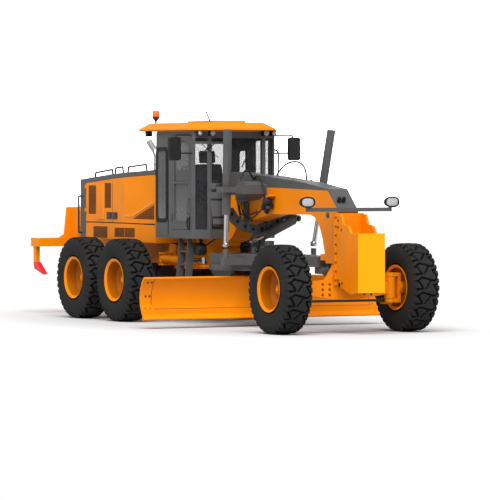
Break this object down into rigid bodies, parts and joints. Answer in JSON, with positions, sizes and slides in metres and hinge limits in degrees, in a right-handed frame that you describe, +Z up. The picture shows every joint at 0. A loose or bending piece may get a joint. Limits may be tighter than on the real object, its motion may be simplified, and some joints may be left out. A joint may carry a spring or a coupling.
{
  "type": "motor grader",
  "caption": "Motor grader with an articulated frame, steered front wheels, a lifting and turning blade, a cab with doors, a hooded engine and a rear ripper.",
  "frame": {"origin": "on the ground, under the middle of the overall length and width, with the wheels straight", "axes": "+X forward along the machine, +Y to the driver's left, +Z up"},
  "size_m": [10.09, 4.25, 3.42],
  "materials": {
    "orange_paint": "semi-gloss",
    "grey_paint": "satin",
    "dark_paint": "satin",
    "chrome_rod": "polished",
    "stack_metal": "brushed",
    "engine_iron": "matt",
    "tyre": "matt",
    "glass": "clear",
    "black_plastic": "matt",
    "seat_cloth": "matt",
    "tooth_paint": "satin"
  },
  "bodies": {
    "rear_frame": {"rear_frame": "grey_paint", "engine_block": "engine_iron", "hood_cowl": "grey_paint", "hood_panels": "orange_paint", "exhaust_stack": "stack_metal", "rear_axle": "dark_paint"},
    "front_frame": {"front_frame": "orange_paint", "frame_cover": "grey_paint", "push_block": "orange_paint", "light_bar": "grey_paint", "front_axle": "orange_paint", "lift_arms": "grey_paint", "cab_shell": "dark_paint", "cab_roof": "orange_paint", "cab_glass": "glass", "cab_interior": "seat_cloth", "ladders": "grey_paint", "mirrors": "black_plastic", "drawbar_ball": "grey_paint"},
    "hood_door_left": {"hood_door_left": "orange_paint"},
    "cab_door_left": {"cab_door_left": "dark_paint", "cab_door_glass_left": "glass"},
    "rear_wheel_left": {"rear_tyre_left": "tyre", "rear_rim_left": "orange_paint"},
    "middle_wheel_left": {"middle_tyre_left": "tyre", "middle_rim_left": "orange_paint"},
    "hood_door_right": {"hood_door_right": "orange_paint"},
    "cab_door_right": {"cab_door_right": "dark_paint", "cab_door_glass_right": "glass"},
    "rear_wheel_right": {"rear_tyre_right": "tyre", "rear_rim_right": "orange_paint"},
    "middle_wheel_right": {"middle_tyre_right": "tyre", "middle_rim_right": "orange_paint"},
    "knuckle_left": {"knuckle_left": "orange_paint"},
    "front_wheel_left": {"front_tyre_left": "tyre", "front_rim_left": "orange_paint"},
    "knuckle_right": {"knuckle_right": "orange_paint"},
    "front_wheel_right": {"front_tyre_right": "tyre", "front_rim_right": "orange_paint"},
    "tie_rod": {"tie_rod": "grey_paint"},
    "drawbar": {"drawbar": "grey_paint"},
    "circle": {"circle": "grey_paint"},
    "blade_carrier": {"blade_carrier": "grey_paint"},
    "moldboard": {"moldboard": "orange_paint"},
    "lift_barrel_left": {"lift_barrel_left": "grey_paint"},
    "lift_rod_left": {"lift_rod_left": "chrome_rod"},
    "lift_barrel_right": {"lift_barrel_right": "grey_paint"},
    "lift_rod_right": {"lift_rod_right": "chrome_rod"},
    "centre_shift_barrel": {"centre_shift_barrel": "grey_paint"},
    "centre_shift_rod": {"centre_shift_rod": "chrome_rod"},
    "articulation_barrel_left": {"articulation_barrel_left": "orange_paint"},
    "articulation_rod_left": {"articulation_rod_left": "chrome_rod"},
    "articulation_barrel_right": {"articulation_barrel_right": "orange_paint"},
    "articulation_rod_right": {"articulation_rod_right": "chrome_rod"},
    "ripper_lower_links": {"ripper_lower_links": "orange_paint"},
    "ripper": {"ripper": "orange_paint", "ripper_teeth": "tooth_paint"},
    "ripper_upper_links": {"ripper_upper_links": "orange_paint"},
    "ripper_barrel": {"ripper_barrel": "orange_paint"},
    "ripper_rod": {"ripper_rod": "chrome_rod"}
  },
  "joints": [
    {"name": "articulation", "type": "hinge", "parent": "rear_frame", "child": "front_frame", "pos_m": [-0.545, 0, 1.03], "axis": [0, 0, -1], "range_deg": [-22, 22]},
    {"name": "hood_door_left_hinge", "type": "hinge", "parent": "rear_frame", "child": "hood_door_left", "pos_m": [-3.292, 0.7603, 1.8], "axis": [0, 0, 1], "range_deg": [0, 100]},
    {"name": "cab_door_left_hinge", "type": "hinge", "parent": "front_frame", "child": "cab_door_left", "pos_m": [-0.1015, 0.7503, 2.2], "axis": [0, 0, 1], "range_deg": [0, 95]},
    {"name": "rear_wheel_left_turn", "type": "hinge", "parent": "rear_frame", "child": "rear_wheel_left", "pos_m": [-2.635, 1.095, 0.672], "axis": [0, 1, 0], "continuous": true},
    {"name": "middle_wheel_left_turn", "type": "hinge", "parent": "rear_frame", "child": "middle_wheel_left", "pos_m": [-1.095, 1.095, 0.672], "axis": [0, 1, 0], "continuous": true},
    {"name": "hood_door_right_hinge", "type": "hinge", "parent": "rear_frame", "child": "hood_door_right", "pos_m": [-3.292, -0.7603, 1.8], "axis": [0, 0, -1], "range_deg": [0, 100]},
    {"name": "cab_door_right_hinge", "type": "hinge", "parent": "front_frame", "child": "cab_door_right", "pos_m": [-0.1015, -0.7503, 2.2], "axis": [0, 0, -1], "range_deg": [0, 95]},
    {"name": "rear_wheel_right_turn", "type": "hinge", "parent": "rear_frame", "child": "rear_wheel_right", "pos_m": [-2.635, -1.095, 0.672], "axis": [0, 1, 0], "continuous": true},
    {"name": "middle_wheel_right_turn", "type": "hinge", "parent": "rear_frame", "child": "middle_wheel_right", "pos_m": [-1.095, -1.095, 0.672], "axis": [0, 1, 0], "continuous": true},
    {"name": "steer_left", "type": "hinge", "parent": "front_frame", "child": "knuckle_left", "pos_m": [4.205, 0.8, 0.672], "axis": [0, 0, 1], "range_deg": [-42, 42]},
    {"name": "front_wheel_left_turn", "type": "hinge", "parent": "knuckle_left", "child": "front_wheel_left", "pos_m": [4.205, 1.095, 0.672], "axis": [0, 1, 0], "continuous": true},
    {"name": "steer_right", "type": "hinge", "parent": "front_frame", "child": "knuckle_right", "pos_m": [4.205, -0.8, 0.672], "axis": [0, 0, 1], "range_deg": [-43, 43]},
    {"name": "front_wheel_right_turn", "type": "hinge", "parent": "knuckle_right", "child": "front_wheel_right", "pos_m": [4.205, -1.095, 0.672], "axis": [0, 1, 0], "continuous": true},
    {"name": "tie_rod_swing", "type": "hinge", "parent": "knuckle_left", "child": "tie_rod", "pos_m": [3.975, 0.8, 0.672], "axis": [0, 0, 1], "range_deg": [-43, 43]},
    {"name": "blade_lift", "type": "hinge", "parent": "front_frame", "child": "drawbar", "pos_m": [3.745, 0, 0.93], "axis": [0, 1, 0], "range_deg": [-18, 5]},
    {"name": "circle_turn", "type": "hinge", "parent": "drawbar", "child": "circle", "pos_m": [1.285, 0, 0.88], "axis": [0, 0, 1], "continuous": true},
    {"name": "blade_tip", "type": "hinge", "parent": "circle", "child": "blade_carrier", "pos_m": [1.425, 0, 0.56], "axis": [0, 1, 0], "range_deg": [-5, 40]},
    {"name": "blade_side_shift", "type": "slide", "parent": "blade_carrier", "child": "moldboard", "axis": [0, -1, 0], "range_m": [-0.55, 0.55]},
    {"name": "lift_cylinder_swing_left", "type": "hinge", "parent": "front_frame", "child": "lift_barrel_left", "pos_m": [1.995, 0.848, 2.153], "axis": [0, 1, 0], "range_deg": [-3.53, 1.34]},
    {"name": "lift_rod_slide_left", "type": "slide", "parent": "lift_barrel_left", "child": "lift_rod_left", "axis": [-0.1763, -0.0749, -0.9815], "range_m": [-0.1726, 0.6082]},
    {"name": "lift_cylinder_swing_right", "type": "hinge", "parent": "front_frame", "child": "lift_barrel_right", "pos_m": [1.995, -0.848, 2.153], "axis": [0, 1, 0], "range_deg": [-3.53, 1.34]},
    {"name": "lift_rod_slide_right", "type": "slide", "parent": "lift_barrel_right", "child": "lift_rod_right", "axis": [-0.1763, 0.0749, -0.9815], "range_m": [-0.1726, 0.6082]},
    {"name": "centre_shift_swing", "type": "hinge", "parent": "front_frame", "child": "centre_shift_barrel", "pos_m": [1.54, 0.64, 1.69], "axis": [1, 0, 0], "range_deg": [-9.45, 32.71]},
    {"name": "centre_shift_rod_slide", "type": "slide", "parent": "centre_shift_barrel", "child": "centre_shift_rod", "axis": [0, -0.9059, -0.4235], "range_m": [-0.1233, 0.431]},
    {"name": "articulation_cylinder_swing_left", "type": "hinge", "parent": "rear_frame", "child": "articulation_barrel_left", "pos_m": [-0.935, 0.5, 1.01], "axis": [0, 0, 1], "range_deg": [-15.87, 15.87]},
    {"name": "articulation_rod_slide_left", "type": "slide", "parent": "articulation_barrel_left", "child": "articulation_rod_left", "axis": [0.9987, -0.0514, 0], "range_m": [-0.188, 0.188]},
    {"name": "articulation_cylinder_swing_right", "type": "hinge", "parent": "rear_frame", "child": "articulation_barrel_right", "pos_m": [-0.935, -0.5, 1.01], "axis": [0, 0, 1], "range_deg": [-15.87, 15.87]},
    {"name": "articulation_rod_slide_right", "type": "slide", "parent": "articulation_barrel_right", "child": "articulation_rod_right", "axis": [0.9987, 0.0514, 0], "range_m": [-0.188, 0.188]},
    {"name": "ripper_lift", "type": "hinge", "parent": "rear_frame", "child": "ripper_lower_links", "pos_m": [-3.665, 0, 0.93], "axis": [0, 1, 0], "range_deg": [-63, 5]},
    {"name": "ripper_level", "type": "hinge", "parent": "ripper_lower_links", "child": "ripper", "pos_m": [-4.425, 0, 1.18], "axis": [0, 1, 0], "range_deg": [-5.5, 63.5]},
    {"name": "ripper_upper_link_swing", "type": "hinge", "parent": "rear_frame", "child": "ripper_upper_links", "pos_m": [-3.665, 0, 1.33], "axis": [0, 1, 0], "range_deg": [-63.5, 5.5]},
    {"name": "ripper_cylinder_swing", "type": "hinge", "parent": "rear_frame", "child": "ripper_barrel", "pos_m": [-3.655, 0, 1.48], "axis": [0, 1, 0], "range_deg": [-43.21, 3.89]},
    {"name": "ripper_rod_slide", "type": "slide", "parent": "ripper_barrel", "child": "ripper_rod", "axis": [-0.9594, 0, -0.2822], "range_m": [-0.0369, 0.4066]}
  ],
  "couplings": [
    {"joint": "steer_right", "follows": "steer_left", "ratio": 1},
    {"joint": "tie_rod_swing", "follows": "steer_left", "ratio": -1},
    {"joint": "lift_cylinder_swing_left", "follows": "blade_lift", "ratio": 0.16823},
    {"joint": "lift_rod_slide_left", "follows": "blade_lift", "m_per_rad": -1.9201},
    {"joint": "lift_cylinder_swing_right", "follows": "blade_lift", "ratio": 0.16823},
    {"joint": "lift_rod_slide_right", "follows": "blade_lift", "m_per_rad": -1.9201},
    {"joint": "centre_shift_swing", "follows": "blade_lift", "ratio": -1.7892},
    {"joint": "centre_shift_rod_slide", "follows": "blade_lift", "m_per_rad": -1.356},
    {"joint": "articulation_cylinder_swing_left", "follows": "articulation", "ratio": -0.69871},
    {"joint": "articulation_rod_slide_left", "follows": "articulation", "m_per_rad": 0.47658},
    {"joint": "articulation_cylinder_swing_right", "follows": "articulation", "ratio": -0.69871},
    {"joint": "articulation_rod_slide_right", "follows": "articulation", "m_per_rad": -0.47658},
    {"joint": "ripper_level", "follows": "ripper_lift", "ratio": -1},
    {"joint": "ripper_upper_link_swing", "follows": "ripper_lift", "ratio": 1},
    {"joint": "ripper_cylinder_swing", "follows": "ripper_lift", "ratio": 0.67788},
    {"joint": "ripper_rod_slide", "follows": "ripper_lift", "m_per_rad": -0.36522}
  ]
}
